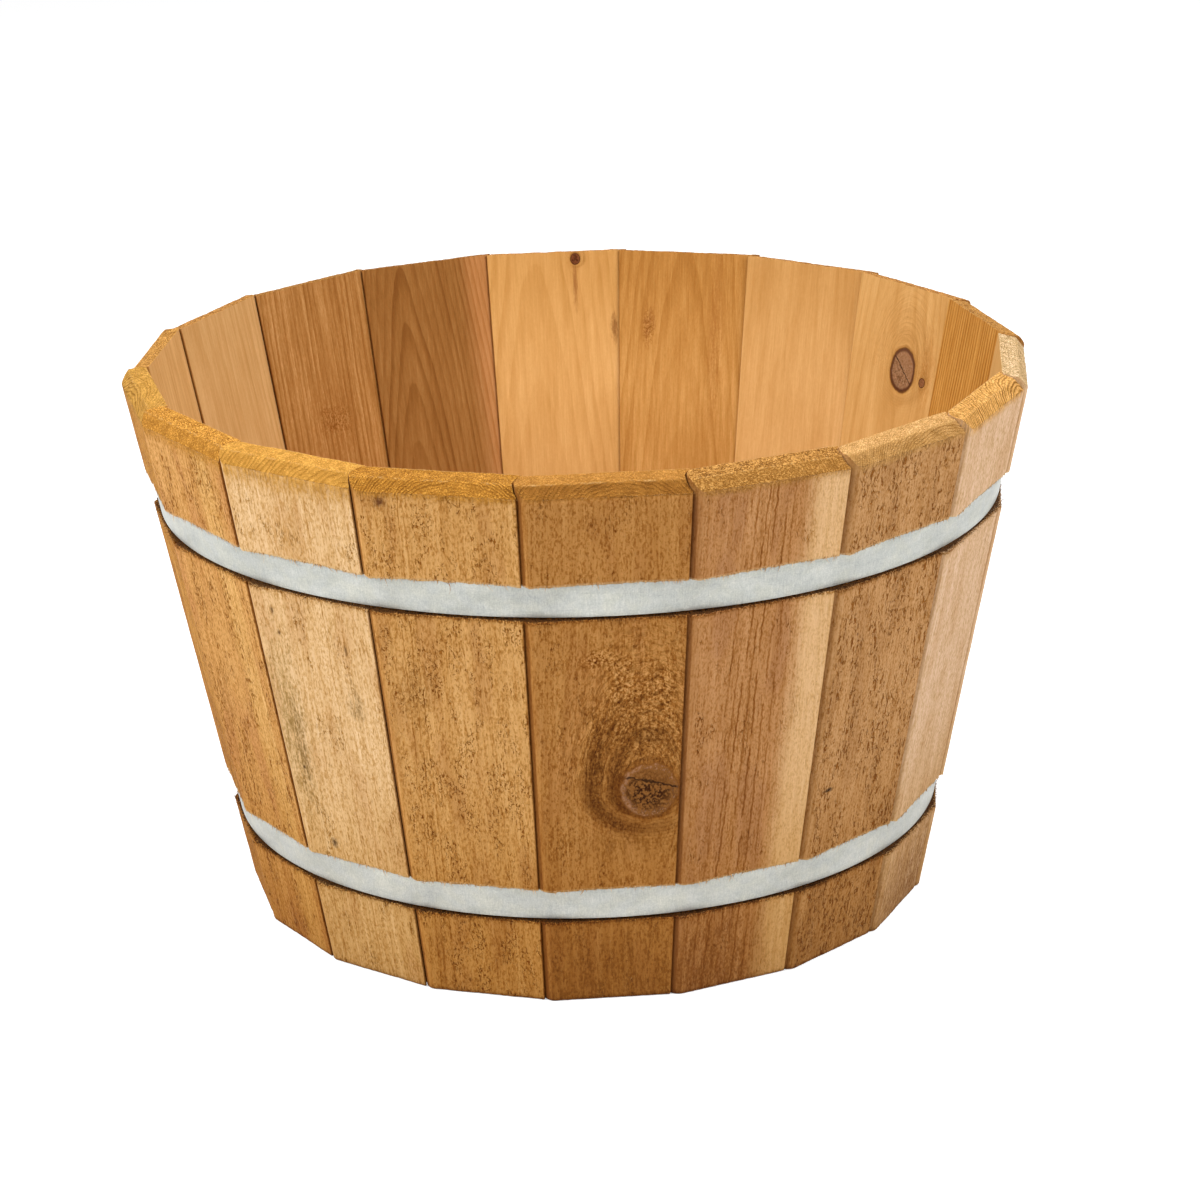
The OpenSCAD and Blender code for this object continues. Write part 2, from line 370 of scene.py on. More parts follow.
def wood_material(name, wood, seed):
    g = Shader(bpy.data.materials.new(name))
    x, y, s = g.attribute("grain")
    inside, machined, end = g.attribute("zone")
    ledge, shoulder, shade_under_hoop = g.attribute("ledge")
    outside = 1 - inside
    rough = outside * (1 - machined * 0.6) * (1 - end)
    at = (x, y, s)

    def noise(cell, along, detail, number, roughness=0.5, where=at):
        """Smooth noise about 0.5. Cell is its grain's size across the board and through it."""
        return g.noise(where, (cell, cell, along), detail, seed + number, roughness)

    # Grain lines bend round each knot.
    flow = x
    places = []
    for k in wood.knots:
        dx = (x - k.x) / k.across
        ds = (s - k.s) / k.along
        near = (dx.squared() + (ds * 0.6).squared()).at_least(1)
        flow = flow - (x - k.x) / near * 0.9
        ragged = (noise(5, 6, 1, 31) - 0.5) * (0.1 + k.swirl * 0.15)
        out = (dx.squared() + ds.squared()).root() + ragged
        drawn = ds.at_least(0) / k.stretch + ds.at_most(0) * 1.35
        oval = (dx.squared() + drawn.squared()).root() + ragged * 0.7
        places.append((k, dx, ds, out, oval))
    along_flow = (flow, y, s)

    drift = noise(26, 150, 1, 3) - 0.5
    ripple = noise(7, 46, 2, 5, where=along_flow) - 0.5
    px, py = wood.pith
    radius = ((flow - px + drift * 7).squared() + (y - py).squared()).root()

    def late_bands(phase):
        """1 in the dark late wood of each year's ring. Phase counts the rings."""
        ring = phase.whole()
        part = phase - ring
        return part.rise(0.35, 0.93) * part.rise(1.0, 0.94) * (g.chance(ring + seed) * 0.8 + 0.3)

    def away_from(spot_x, spot_s, across, along):
        """0 in the middle of a spot with the given half sizes, and 1 at its edge."""
        return (((x - spot_x) / across).squared() + ((s - spot_s) / along).squared()).root()

    # The figure of the wood, and the marks that the saw tore in the outside.
    late = late_bands((radius + s * wood.rise + ripple * wood.wobble) / wood.ring)
    fibre = noise(1.2, 11, 3, 7, 0.55, where=along_flow) - 0.5
    silk = noise(0.75, 34, 2, 8, 0.5, where=along_flow) - 0.5
    streak = noise(3.6, 120, 3, 9, 0.6, where=along_flow) - 0.5
    broad = noise(15, 60, 2, 11) - 0.5
    fuzz = noise(0.95, 2.1, 2, 13, 0.6) - 0.5
    mark = noise(wood.mark, 3 * wood.mark, 1, 15)
    crowd = noise(9, 26, 3, 17, 0.6)
    wander = (noise(2.6, wood.curl, 2, 18) - 0.5).size()
    thick = crowd.rise(0.69 - 0.34 * wood.specks, 0.79 - 0.34 * wood.specks)
    torn = mark.rise(0.61, 0.67).at_least(wander.rise(0.024, 0.006) * mark.rise(0.40, 0.54)
                                          * wood.hooks)
    torn = torn * thick * rough

    body = g.blend(inside, wood.tone, wood.inside)
    body = g.blend(broad.rise(0.0, 0.16) * outside * 0.4, body, wood.hue)
    nap = fibre * (0.9 + rough * 1.3 * wood.nap) + fuzz * (rough * 3.4 * wood.nap + 0.6)
    nap = nap.at_least(-0.13 - inside)
    planed = 1 - inside * (1 - wood.streaks * 1.1)
    depth = (late * wood.late * (1 - rough * 0.5) + streak * wood.streaks * 2.1
             + broad * (0.45 + inside * 0.3) + planed * (silk * 0.8 + nap * 1.4))
    if wood.sap:
        sap_x, sap_slope, sap_side, sap_tone = wood.sap
        edge = (flow - sap_x - (s - MID_STAVE) * sap_slope + drift * 5 + ripple * 5) * sap_side
        pale = (edge + streak * 9).rise(-9, 6)
        body = g.blend(pale, body, sap_tone)
        depth = depth * (1 - pale * 0.5)
        torn = torn * (1 - pale * 0.75)
    if wood.band:
        band_x, band_w, band_tone = wood.band
        away = (flow - band_x + drift * 6 + streak * 6).size()
        body = g.blend(away.rise(band_w, band_w * 0.4) * 0.85, body, band_tone)
    for line_x, line_slope, line_w, line_depth in wood.lines:
        wave = noise(6, 6, 2, int(line_x) + 60, where=(s * 0.3, y, s)) - 0.5
        off = (flow - line_x - (s - MID_STAVE) * line_slope + drift * 3 + wave * 2.4).size()
        broken = noise(5, 14, 2, 19, where=(x, y, s + line_x * 9)).rise(0.36, 0.5)
        depth = depth + off.rise(line_w, line_w * 0.3) * broken * line_depth * outside
    for *spot, amount in wood.torn:
        away = away_from(*spot) + broad * 2
        hairy = noise(1.1, 1.3, 2, 21, 0.6)
        grit = ((hairy - 0.5) * 8 + 0.2).at_least(-0.3)
        depth = depth + away.rise(1.2, 0.3) * grit * amount
    depth = depth + machined * outside * wood.bead
    # Painted shade: the inside darker toward the rim
    if wood.fade:
        depth = depth + inside * s.rise(INNER_SHADE_FROM, INNER_SHADE_TO) * wood.fade
    colour = g.darken(body, depth)
    # The torn marks darker: partly painted shade in their pits, partly the torn wood's own colour
    colour = g.darken(colour, torn * wood.speck_dark * 1.7, TORN_DEPTH)
    if wood.jointed:
        # Painted shade deep in each joint: on the bead past the next stave's lip, and on the cove and
        # lip
        flare = SIN * tan(HALF_TURN)
        past_bead = -half_width(0) - x - s * flare
        past_lip = x - s * flare - (half_width(0) - LIP_SETBACK - LIP_ROUND)
        joint_shade = past_bead.rise(4.9, 5.8) * (0.4 + wood.bead * 4)
        joint_shade = joint_shade.at_least(past_lip.rise(-0.1, 0.5) * 0.9)
        colour = g.darken(colour, joint_shade * (1 - end), JOINT_SHADE_DEPTH)

    for *spot, tone, amount in wood.stains:
        across, along = spot[2:]
        patchy = noise(min(across, 5) * 0.4, min(along, 12) * 0.4, 4, 23, 0.7)
        share = (away_from(*spot) + (patchy - 0.5) * 2.0).rise(1.3, 0.1) * amount
        if across > 4:
            share = share * (fibre * 2.6 + fuzz * 2.6 + 0.75).at_least(0.1).at_most(1.25)
        colour = g.blend(share, colour, tone)

    # Each knot: rings drawn out over it, a pitted core and sometimes a crack.
    height = fibre * 0.22 + fuzz * rough * 0.5 - torn * 0.5 + late * 0.05
    for k, dx, ds, out, oval in places:
        grainy = noise(1.1, 1.4, 3, 29, 0.6)
        # The rungs of all a board's knots take their height from its last knot.
        bearing = dx.op("ARCTAN2", drawn)
        rungs = g.noise((oval * 16, bearing * 24, y), (0.85, 2.8, 4), 3, seed + 27, 0.7) - 0.5
        rungs = (rungs * 8).at_least(-0.4) * drawn.rise(-0.2, 0.5) * oval.rise(4.4, 1.6)
        colour = g.darken(colour, rungs * k.swirl, RUNG_DEPTH)
        dark_side = (0.62 - dx * 0.36).at_least(0.1).at_most(1.2) * ds.rise(4.2, 0.4)
        thin = (oval * 5.6 + broad * 1.5).op("FRACT")
        lines = thin.rise(0.45, 0.85) * thin.rise(1.0, 0.9) * oval.rise(3.4, 1.9)
        outer_ring = (oval - 1.92).size().rise(0.5, 0.0) * dark_side
        inner_ring = (oval - 1.2).size().rise(0.34, 0.0) * (dark_side + 0.25)
        halo = oval.rise(2.7, 1.1) * (dark_side + 0.1)
        swirl = (lines * 0.4 + outer_ring + inner_ring * 0.75 + halo * 0.4) * k.swirl
        colour = g.darken(colour, swirl * (grainy * 2.4 - 0.2), SWIRL_DEPTH)
        pits = (grainy + (noise(3.4, 3, 2, 33) - 0.5) * 0.6).rise(0.47, 0.62)
        if k.crack:
            shift, slope = k.crack
            above = ds * k.along - dx * (k.across * slope) - shift
            pits = pits * (0.25 + above.rise(1.0, -3.0) * 0.75)
        core = g.darken(k.tone, (grainy - 0.5) * 3)
        core = g.blend(pits * out.rise(0.9, 0.45) * k.pits, core, KNOT_PIT)
        lip = out.rise(0.7, 0.84) * out.rise(0.99, 0.9) * (grainy - dx * 0.08).rise(0.46, 0.6)
        core = g.blend(lip * k.swirl * 0.8, core, KNOT_LIP)
        colour = g.blend(out.rise(1.03, 0.95), colour, core)
        rimmed = out.rise(0.9, 1.0) * out.rise(1.2, 1.06)
        colour = g.darken(colour, rimmed * 0.8 * (0.5 + k.swirl * 0.5))
        colour = g.blend(out.rise(0.8, 0.93) * out.rise(1.1, 1.02) * (1 - k.swirl), colour,
                         KNOT_BARK)
        if k.crack:
            wave = (noise(3, 3, 2, 37) - 0.5) * (k.across * 0.25)
            split = (above + wave).size().rise(0.7, 0.15) * out.rise(1.0, 0.86)
            colour = g.blend(split * 0.85, colour, CRACK)
            height = height - split * 0.6
        height = height - rimmed * 0.3 - pits * out.rise(1.0, 0.8) * k.pits * 0.6

    # The sawn ends: warm, dotted with pores and crossed by the rings.
    curls = 1.1 + wood.pores * 0.18
    wool = (noise(curls, curls, 2, 41, 0.6) - 0.5).size()
    speck = 0.85 * wood.coarse
    pores = noise(speck, speck, 2, 42, 0.65) - 0.5
    blotch = noise(5, 5, 3, 43) - 0.5
    rings = late_bands((radius + ripple * 3) / wood.end_ring)
    bevel = y.rise(-1.6, -2.8)
    grit = ((pores * 2.6 + (0.075 - wool) * 7) * wood.pores * (1 - bevel * 0.6)).at_least(-0.6)
    end_depth = ((rings - 0.2) * wood.end_late * (1.5 + bevel) + grit + blotch * 2
                 + bevel * wood.bevel)
    end_colour = g.darken(wood.rim, end_depth, END_DEPTH)
    # Painted highlight along the rim's edges
    arris_highlight = (y + THICK / 2 - RIM_CHAMFER).size().rise(0.9, 0.1).at_least(y.rise(6.9, 7.7))
    end_colour = g.blend(arris_highlight * (blotch + pores) * 1.7, end_colour, ARRIS_HIGHLIGHT)
    spill = s.rise(STAVE_LEN - RIM_CHAMFER - wood.bleed * 2.2, STAVE_LEN - RIM_CHAMFER)
    spill = (spill + (fuzz + broad) * 1.2).at_least(0).at_most(1) * spill * rough
    colour = g.blend(spill * 0.85, colour, end_colour)
    colour = g.blend(end, colour, end_colour)
    height = height + end * (pores * 0.8 + wool * 2.5 + rings * 0.12)

    # Painted shade in the grooves and just under the straps, pale torn shoulders over them, and the
    # darker foot.
    fluff = noise(0.7, 1.2, 2, 47)
    # Painted shade in the grooves, dark and mottled with fibre brown
    shaded_groove = g.blend(fluff.rise(0.4, 0.75), GROOVE_SHADE_DARK, GROOVE_FIBRE_BROWN)
    groove_shade_share = (ledge + (fluff - 0.5) * 1.3).rise(0.4, 0.62) * ledge.rise(0.0, 0.2)
    colour = g.blend(groove_shade_share * 0.96, colour, shaded_groove)
    colour = g.blend(shoulder * fluff.rise(0.3, 0.6) * 0.6, colour, TORN_SHOULDER)
    # Painted shade on the face just under each strap
    colour = g.darken(colour, shade_under_hoop * fluff.rise(0.33, 0.58) * 1.7, SHADE_DEPTH)
    # Darker toward the foot: partly painted shade near the floor, partly the wood's own tone
    low = s.rise(LOW_FROM, LOW_TO) * outside
    colour = g.darken(colour, low * (1 + streak), LOW_DEPTH)
    # Darker along the very bottom edge: partly painted contact shade, partly dirt where it stands
    stood = (s + (fluff - 0.5) * 5).rise(4.5, 0.5) * outside
    colour = g.darken(colour, stood * 1.3, FOOT_DEPTH)

    return g.finish(colour, 0.62 + rough * 0.2 + end * 0.15 + fibre * 0.2, height, WOOD_SPECULAR)


# Each stave as the eye finds it: stave_01 is nearest, and the count goes round to the right.
CEDAR = [
    Wood("#c18645", "#bf8748", "#b77e37", late=0.4, ring=3.6, end_ring=1.5, end_late=0.45,
         pith=(2, -46), rise=0.02, specks=0.5, bleed=1, bevel=0.95, pores=1.2, hue="#b5793f",
         knots=[Knot(15.2, 132.5, 15.6, 16.8, "#8f5b29", (5, -0.27), 1.75, 1, 1)],
         torn=[(7, 176, 32, 30, 0.9), (-12, 211, 18, 9, 2), (16, 200, 22, 16, 0.7)],
         stains=[(15, 165, 10, 6, "#6f4a22", 0.35), (6, 99, 34, 12, "#9a6428", 0.55),
             (0, 0, 90, 60, "#94602c", 0.5)]),
    Wood("#c48b55", "#c08a4e", "#b37f3d", late=0.5, ring=4.2, end_ring=1.6, end_late=0.15,
         pith=(-26, -34), rise=0.01, streaks=0.6, speck_dark=0.7, hooks=1.1, curl=13, pores=4.2,
         nap=0.7, hue="#b07a52", sap=(14.5, 0.03, 1, "#ecbd86"),
         stains=[(-22, 0, 34, 60, "#8c5628", 0.7)], lines=[(-24, 0.04, 0.7, 0.8),
             (-19, 0.03, 0.7, 1.1), (-16, 0.05, 0.7, 1.7), (-11, 0.03, 0.7, 1.1),
             (-7, 0.02, 0.7, 1.6), (-2, 0.03, 0.7, 1.2), (3, 0.02, 0.6, 0.9)]),
    Wood("#c5925d", "#c99453", "#cf9e60", ring=2.6, end_ring=1.2, end_late=0.4, pith=(20, -60),
         streaks=0.4, specks=0.78, speck_dark=0.8, hooks=1.1, mark=1.35, bead=0, bevel=0.6, pores=1.4,
         curl=6, stains=[(-30, 112, 4, 1.6, "#3a2412", 1)], hue="#ab7a4a"),
    Wood("#e0b992", "#d8ab75", "#d29b52", late=0.35, ring=2.8, end_late=1.2, end_ring=1.8,
         pith=(30, -30), streaks=0.3, specks=0.15, hooks=0.1, bead=0, pores=1.9, coarse=1.9, nap=0.5,
         # Its stain darkens the foot toward the right edge: partly painted shade near the floor
         hue="#d3a67c", stains=[(12, 8, 62, 48, "#9a6c44", 0.9)]),
    Wood("#e0b992", "#c99d60", "#d6b382", late=0.25, ring=2.6, pith=(10, 50), streaks=0.3, specks=0.2,
         hooks=0.1, bead=0, nap=0.5, hue="#d3a67c"),
    Wood("#bd884a", "#bd873f", "#b98340", late=1.4, ring=3.4, pith=(-60, 6), rise=0.01, streaks=0.8,
         specks=0.3),
    Wood("#c9965a", "#cc9d5e", "#bd8340", ring=3.8, pith=(0, 40), streaks=0.35, specks=0.3,
         knots=[Knot(-13, 260, 10.5, 13, "#946c4a", (0, 0.9), 1.4, 0.2, 0.4),
             Knot(-31.4, 256, 2.6, 2.8, "#8a5a36", None, 1.2, 0.2)],
         stains=[(-34, 262, 7, 26, "#b0742f", 0.4)]),
    Wood("#d2a065", "#d1a265", "#bd8442", late=0.2, ring=5, pith=(4, 30), rise=0.05, streaks=0.35,
         specks=0.3, fade=0.45),
    Wood("#bd8445", "#be8b4a", "#b57c3a", late=0.42, ring=5.2, pith=(-6, 26), rise=0.09, streaks=0.65,
         specks=0.3, fade=0.52, torn=[(17, 264, 5, 14, 1.2)],
         stains=[(17, 264, 5, 12, "#8f5a28", 0.7), (-26, 262, 5, 60, "#9c642c", 0.45)]),
    Wood("#d09c5c", "#cf9f60", "#c08644", late=0.28, ring=5.6, pith=(8, 34), rise=0.08, streaks=0.35,
         specks=0.25, fade=0.4, knots=[Knot(-18, 305, 3, 3.4, "#6b3a1c", None, 1.2, 0.3, 0.6)],
         stains=[(-17.5, 290, 1.6, 16, "#8f5a2a", 0.8), (-41, 262, 2.4, 9, "#7a4c22", 0.8)]),
    Wood("#9c6333", "#956632", "#a36c30", late=1, ring=3.6, pith=(12, 20), rise=0.1, streaks=0.7,
         specks=0.3, wobble=1.6, fade=0.25, sap=(-36, 0.03, -1, "#b98350")),
    Wood("#a8733c", "#ab7941", "#b07a36", late=0.8, ring=3.8, pith=(-50, 12), rise=0.02, streaks=1.1,
         specks=0.5, torn=[(-6, 225, 13, 12, 1.3)], stains=[(-6, 222, 22, 30, "#935c26", 0.4)]),
    Wood("#c4935f", "#c69a62", "#bd8440", late=0.22, ring=4.6, pith=(30, 40), rise=0.04, streaks=0.4,
         specks=0.2),
    Wood("#c4915a", "#cd9f64", "#c48c42", ring=3.2, pith=(-30, 40), specks=0.5),
    Wood("#d09547", "#c9955a", "#c4903f", late=0.6, end_late=0.7, end_ring=1.8, pith=(-10, -60),
         streaks=0.8, specks=0.75, speck_dark=0.85, hooks=0.8, curl=9, bleed=4, bevel=0.1, pores=1.2,
         hue="#b5793f", lines=[(-22, 0, 0.6, 0.9), (-9, 0.02, 0.6, 0.8), (8, 0.01, 0.7, 0.8)]),
    Wood("#d79e5a", "#cf9858", "#c98d39", late=0.4, end_late=0.1, pith=(-40, -30), rise=0.01,
         streaks=0.6, specks=0.6, speck_dark=0.85, hooks=0.9, curl=8, bleed=5, bevel=0.4, pores=3.4,
         hue="#c58552", band=(14, 13, "#e2ad66"), stains=[(-24, 146, 8, 16, "#a86f3a", 0.5)]),
    Wood("#ebbf87", "#d7a261", "#d09742", ring=2.8, end_late=0.35, end_ring=2.2, pith=(44, -50),
         rise=0.02, streaks=0.45, hooks=0.8, curl=7, bleed=9, pores=1, nap=0.7, hue="#d6a26c",
         lines=[(2, 0.02, 0.5, 0.8), (-14, 0.01, 0.5, 0.5), (12, 0.03, 0.5, 0.7)],
         stains=[(-33, 152, 13, 60, "#a5834a", 0.65), (-29, 140, 5, 34, "#7d5f34", 0.5),
             (15, 174, 6, 12, "#8f744c", 0.6), (-12, 262, 20, 34, "#d29c5c", 0.55),
             (-19, 82, 2.2, 3.5, "#4a2f18", 0.9), (-31, 222, 1.2, 3, "#6b4a28", 0.9),
             (-29, 209, 1.1, 2, "#5c3c20", 0.9), (15, 207, 1.2, 4, "#6b4a28", 0.8),
             (-30, 127, 1, 1.4, "#4a2f18", 0.9)]),
    Wood("#dba35f", "#cfa167", "#b87e2e", late=0.35, ring=3.4, end_ring=1.25, pith=(6, -52),
         rise=0.02, specks=0.62, speck_dark=0.95, hooks=1, nap=0.8, curl=3.4, pores=2.4,
         hue="#bd8248", lines=[(-30, 0, 0.5, 0.9), (-26, 0.01, 0.5, 0.9), (-22, 0, 0.5, 0.8)],
         stains=[(-34, 299, 4, 4.5, "#5a2a12", 0.9), (-27, 190, 11, 20, "#946028", 0.45)]),
]


# ------ meshes
def put(name, data):
    """A new object in the scene that shows a mesh, or is a lamp or camera."""
    thing = bpy.data.objects.new(name, data)
    bpy.context.scene.collection.objects.link(thing)
    return thing


def new_piece(name, points, faces, material, slot, **attributes):
    """A piece of the part from points in millimetres, faces and vectors for each point."""
    mesh = bpy.data.meshes.new(name)
    mesh.from_pydata((np.vstack(points) * MM).tolist(), [], faces)
    for key, values in attributes.items():
        made = mesh.attributes.new(key, "FLOAT_VECTOR", "POINT")
        made.data.foreach_set("vector", np.vstack(values).astype(np.float32).ravel())
    mesh.materials.append(material)
    piece = put(name, mesh)
    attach(piece, ROOT)
    return piece


def replace_node(node, prefix, points, faces, material, slot, sharp_degrees, **attributes):
    """A piece that stands for a CAD node: closed, and smooth between its sharp edges."""
    piece = new_piece(f"{prefix}_{node}", points, faces, material, slot, **attributes)
    work = bmesh.new()
    work.from_mesh(piece.data)
    bmesh.ops.remove_doubles(work, verts=work.verts, dist=0.002 * MM)
    bmesh.ops.recalc_face_normals(work, faces=work.faces)
    for f in work.faces:
        f.smooth = True
    work.to_mesh(piece.data)
    work.free()
    piece.data.set_sharp_from_angle(angle=radians(sharp_degrees))
    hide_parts(node)


def stave_outline():
    """A stave's section going round it: x is a + b * half width, with y and a machined mark."""
    columns = []
    half = THICK / 2
    bead_flat = sqrt(BEAD_R ** 2 - half ** 2)
    lip_y = sqrt(COVE_R ** 2 - LIP_SETBACK ** 2)
    lip_angle = asin(lip_y / COVE_R)
    bead_angle = asin(half / BEAD_R)
    lip_end = LIP_SETBACK + LIP_ROUND
    for side in (-1, 1):
        face = [(-(1 - p) * bead_flat - p * lip_end, 2 * p - 1, side * half, 0)
                for p in np.linspace(0, 1, FACE_COLUMNS)]
        lip = [(-lip_end + LIP_ROUND * sin(a), 1,
                side * (half - LIP_ROUND + LIP_ROUND * cos(a)), 0.5)
               for a in np.radians(LIP_ANGLES)]
        if side < 0:
            columns += face + lip
            columns += [(-COVE_R * cos(a), 1, -COVE_R * sin(a), 1)
                        for a in np.linspace(lip_angle, -lip_angle, COVE_STEPS)]
        else:
            columns += lip[::-1] + face[::-1]
            columns += [(-BEAD_R * cos(a), -1, BEAD_R * sin(a), 1)
                        for a in np.linspace(bead_angle, -bead_angle, BEAD_STEPS)[1:-1]]
    return np.array(columns)


def stave_rows():
    """Rows along a stave: its length, the hoop whose groove it lies in or 0, and its place."""
    first, last = THICK / 2 * tan(LEAN), STAVE_LEN - RIM_CHAMFER
    rows = []
    edges = []
    for hoop, z in enumerate(HOOP_HEIGHTS, 1):
        middle = groove_middle(z)
        low, high = groove_edges(z)
        edges.append((low, high))
        rows += [(low - 1.3, 0, FAR_BELOW), (low - 0.45, 0, BELOW), (low, 0, LOW_LIP),
                 (high, 0, HIGH_LIP), (high + 0.45, 0, ABOVE), (high + 1.2, 0, PLAIN)]
        rows += [(s, hoop, PLAIN) for s in (low + 0.03, low + 2, middle - 5, middle,
                                            middle + 5, high - 2, high - 0.03)]
    for s in np.linspace(first, last, int((last - first) / ROW_STEP)):
        if all(not low - ROW_STEP < s < high + ROW_STEP for low, high in edges):
            rows.append((s, 0, PLAIN))
    return sorted(rows)


OUTLINE = stave_outline()
ROWS = stave_rows()


def to_barrel(x, y, s, turn):
    """Points of a stave's own frame, placed on the barrel."""
    out = -MID_FOOT_R + y * COS - s * SIN
    up = y * SIN + s * COS
    c, n = cos(turn), sin(turn)
    return points_of(x * c - out * n, x * n + out * c, up)


def rim_level(x, y, seed, tilt):
    """Where the sawn rim ends the wood: square across, with a chamfer outside."""
    drop = -(y + THICK / 2 - RIM_CHAMFER - tilt * x)
    soft = 0.35 * np.logaddexp(0, drop / 0.35)
    ragged = lattice(x / 1.4, y / 1.4, seed, 3) * 0.35 + lattice(x / 7, y / 7, seed, 5) * 0.3
    return STAVE_LEN - soft - ragged


def into_groove(x, y, s, hoop):
    """Presses what stands proud of a groove's conical bottom back on to it."""
    z0 = HOOP_HEIGHTS[hoop - 1]
    out, up = MID_FOOT_R - y * COS + s * SIN, y * SIN + s * COS
    r = np.hypot(x, out)
    dr, dz = r - face_r(z0), up - z0
    u, v = dr * SIN + dz * COS, dr * COS - dz * SIN
    proud = v > GROOVE_BACK
    r_new = face_r(z0) + u * SIN + GROOVE_BACK * COS
    z_new = z0 + u * COS - GROOVE_BACK * SIN
    x = np.where(proud, x * r_new / r, x)
    out = np.where(proud, out * r_new / r, out)
    up = np.where(proud, z_new, up)
    return x, (MID_FOOT_R - out) * COS + up * SIN, (out - MID_FOOT_R) * SIN + up * COS


def stave_layers(seed, tilt):
    """The rows of a stave's faces: x, y, s, hoop and the marks of its ledges: painted shade in the
    groove, the torn shoulder above it and painted shade below it.
    """
    a, b, y0, machined = OUTLINE.T
    outer = np.where(y0 < -THICK / 2 + 0.9, 1.0, 0.0)
    first, last = ROWS[0][0], ROWS[-1][0]
    for s_row, hoop, place in ROWS:
        x = a + b * half_width(s_row)
        foot = -(y0 + THICK / 2) * tan(LEAN)
        rim = rim_level(x, y0, seed, tilt) - last
        s = (s_row + foot * smooth((FOOT_TOP - s_row) / (FOOT_TOP - first))
             + rim * smooth((s_row - RIM_BASE) / (last - RIM_BASE)))
        inner_part = smooth((s_row - BOW_FROM) / 15) * smooth((BOW_TO - s_row) / 15)
        s = s - x ** 2 / (2 * (MID_FOOT_R + s_row * SIN)) * SIN * inner_part
        y = y0.copy()
        high = place in (HIGH_LIP, ABOVE)
        if place not in (PLAIN, FAR_BELOW):
            teeth = lattice(x / 1.6, high, seed, 21)
            wave = lattice(x / 9, high, seed, 22)
            torn = (teeth ** 2 * 0.8 + wave * 0.4) * outer
            s = s + torn * (-0.9 if high else 0.6)
            y = y + outer * (0.22 if place in (LOW_LIP, HIGH_LIP) else 0.05)
        wavy = lattice(x / 9, y0 / 30, s / 70, seed + 2) * 0.3
        sawn = lattice(x / 2.2, y0 / 30, s / 9, seed + 4) * 0.16
        y = y + np.where(y0 < 0, 1, -1) * np.where(machined > 0.6, 0, wavy + sawn * outer)
        if s_row == first:
            s = s + 0.35 + lattice(x / 3, y0 / 3, seed, 8) * 0.9 * outer
        # Painted shade on the face just below the groove
        shade_under_hoop = {BELOW: 0.8, LOW_LIP: 1.0, FAR_BELOW: 0.15}.get(place, 0.0)
        # Share of painted shade in the groove and on its lower lip
        shaded_groove = 1.0 if hoop else 0.4 * (place == LOW_LIP)
        yield x, y, s, hoop, (shaded_groove, high, shade_under_hoop)


def stave_cap(edge_x, edge_y, bound, level):
    """Rings that close an end of a stave, from its edge inward. Level gives s at x and y."""
    x_mid = np.clip(edge_x, -bound, bound - CAP_MIDDLE_SETBACK)
    for t in CAP_STEPS:
        x, y = edge_x + (x_mid - edge_x) * t, edge_y * (1 - t)
        yield x, y, level(x, y), 0, (0, 0, 0)


def make_stave(index, wood):
    seed = index * 13 + 1
    turn = stave_turn(index)
    tilt = (lattice(index * 3.7, 0.5, 0.5, 9) - 0.5) * 0.05

    def foot_level(x, y):
        return -y * tan(LEAN) + lattice(x / 2, y / 2, seed, 6) * 0.25

    sides = list(stave_layers(seed, tilt))
    foot = list(stave_cap(*sides[0][:2], half_width(ROWS[0][0]), foot_level))
    sawn_rim = functools.partial(rim_level, seed=seed, tilt=tilt)
    rim = list(stave_cap(*sides[-1][:2], half_width(ROWS[-1][0]), sawn_rim))
    layers = foot[::-1] + sides + rim
    machined = OUTLINE[:, 3]
    points, grain, zone, ledge = [], [], [], []
    for k, (x, y, s, hoop, marks) in enumerate(layers):
        end = 0 if len(foot) <= k < len(foot) + len(sides) else 1
        if hoop:
            x, y, s = into_groove(x, y, s, hoop)
        points.append(to_barrel(x, y, s, turn))
        grain.append(points_of(x, y, s))
        inside = np.where(y > THICK / 2 - 1.2, 1.0, 0.0)
        zone.append(points_of(inside, machined * (1 - end), end))
        outside = np.where(y < 0, 1.0, 0.0)
        ledge.append(points_of(*(outside * share for share in marks)))
    node = f"stave_{index + 1:02d}"
    replace_node(node, "cedar", points, bands(len(layers), len(OUTLINE)),
                 wood_material(f"cedar_{node}", wood, seed), "cedar_staves", 35,
                 grain=grain, zone=zone, ledge=ledge)


# ------ hoops
ZINC_BLOOM = "#b2b2a6"
ZINC_DEPTH = (0.6, 0.56, 0.5)


def zinc_material(name, tone, seed):
    g = Shader(bpy.data.materials.new(name))
    at = g.attribute("grain")
    streaks = g.noise(at, (0.7, 2, 5), 3, seed, 0.6) - 0.5
    clouds = g.noise(at, (19, 4, 9), 3, seed + 3, 0.6) - 0.5
    tint = g.noise(at, (12, 4, 12), 2, seed + 4, 0.6) - 0.5
    fine = g.noise(at, (0.6, 2, 0.7), 2, seed + 5, 0.6) - 0.5
    scratch = g.noise(at, (16, 2, 0.6), 2, seed + 7).rise(0.62, 0.72)
    # Painted highlight along both edges of the strap
    edge_highlight = at[2].size().rise(HOOP_W / 2 - 0.6, HOOP_W / 2 - 0.1)
    depth = streaks * 0.6 + clouds * 0.65 + fine * 1.2 + scratch * 0.16 - edge_highlight * 0.5
    colour = g.blend(tint.rise(-0.1, 0.12) * 0.5, tone, ZINC_BLOOM)
    colour = g.darken(colour, depth, ZINC_DEPTH)
    return g.finish(colour, 0.52 + clouds * 0.3 + streaks * 0.2,
                    streaks * 0.06 + fine * 0.06 - scratch * 0.04, metallic=0.6)


def on_cone(z0, u, v, turn):
    """Points at distance u up the faces from height z0 and depth v from them."""
    r = face_r(z0) + u * SIN + v * COS
    z = z0 + u * COS - v * SIN
    return points_of(r * np.cos(turn), r * np.sin(turn), z)


